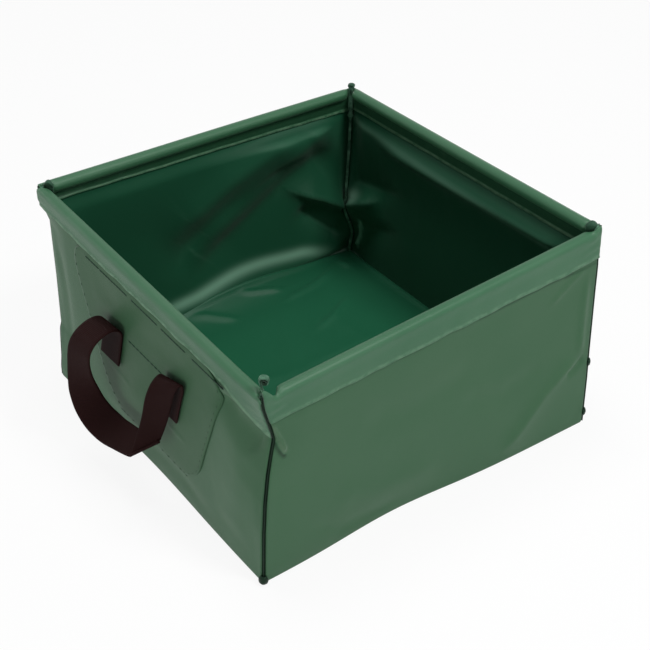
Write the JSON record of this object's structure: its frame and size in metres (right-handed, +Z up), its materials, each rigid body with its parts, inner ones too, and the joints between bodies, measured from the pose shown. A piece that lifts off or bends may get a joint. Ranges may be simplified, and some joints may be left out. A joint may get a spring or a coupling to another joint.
{
  "type": "folding wash basin",
  "caption": "Square collapsible camp wash basin of coated fabric with a rod-stiffened rim and a webbing handle on two opposite walls.",
  "frame": {"origin": "on the ground under the middle of the tub", "axes": "+Z up; +X from the left handle wall to the right handle wall; +Y from the front wall to the back wall"},
  "size_m": [0.3678, 0.3, 0.1825],
  "materials": {
    "coated_fabric": "satin coated",
    "rim_fabric": "satin coated",
    "seam_fabric": "satin coated",
    "floor_fabric": "semi-gloss coated",
    "patch_fabric": "satin coated",
    "rod": "glass-fibre rod, smooth",
    "webbing": "matt woven"
  },
  "bodies": {
    "basin": {"wall_left": "coated_fabric", "wall_right": "coated_fabric", "wall_front": "coated_fabric", "wall_back": "coated_fabric", "rim_sleeve_left": "rim_fabric", "rim_sleeve_right": "rim_fabric", "rim_sleeve_front": "rim_fabric", "rim_sleeve_back": "rim_fabric", "rim_rod_left": "rod", "rim_rod_right": "rod", "rim_rod_front": "rod", "rim_rod_back": "rod", "corner_seam_front_left": "seam_fabric", "corner_seam_front_right": "seam_fabric", "corner_seam_back_left": "seam_fabric", "corner_seam_back_right": "seam_fabric", "handle_patch_left": "patch_fabric", "handle_patch_right": "patch_fabric"},
    "floor": {"floor_panel": "floor_fabric"},
    "left_strap_ends": {"strap_end_left_a": "webbing", "strap_end_left_b": "webbing"},
    "right_strap_ends": {"strap_end_right_a": "webbing", "strap_end_right_b": "webbing"},
    "left_handle": {"handle_loop_left": "webbing"},
    "right_handle": {"handle_loop_right": "webbing"}
  },
  "joints": [
    {"name": "collapse", "type": "slide", "parent": "basin", "child": "floor", "axis": [0, 0, 1], "range_m": [0, 0.115], "deforming": ["wall_left", "wall_right", "wall_front", "wall_back", "corner_seam_front_left", "corner_seam_front_right", "corner_seam_back_left", "corner_seam_back_right", "handle_patch_left", "handle_patch_right"]},
    {"name": "left_ends_rise", "type": "slide", "parent": "basin", "child": "left_strap_ends", "axis": [0, 0, 1], "range_m": [0, 0.0405]},
    {"name": "right_ends_rise", "type": "slide", "parent": "basin", "child": "right_strap_ends", "axis": [0, 0, 1], "range_m": [0, 0.0405]},
    {"name": "left_handle_swing", "type": "hinge", "parent": "left_strap_ends", "child": "left_handle", "pos_m": [-0.1556, 0.0045, 0.1229], "axis": [0, 1, 0], "range_deg": [-6, 90]},
    {"name": "right_handle_swing", "type": "hinge", "parent": "right_strap_ends", "child": "right_handle", "pos_m": [0.1556, -0.0045, 0.1229], "axis": [0, -1, 0], "range_deg": [-6, 90]}
  ],
  "couplings": [
    {"joint": "left_ends_rise", "follows": "collapse", "ratio": 0.35161},
    {"joint": "right_ends_rise", "follows": "collapse", "ratio": 0.35161}
  ]
}
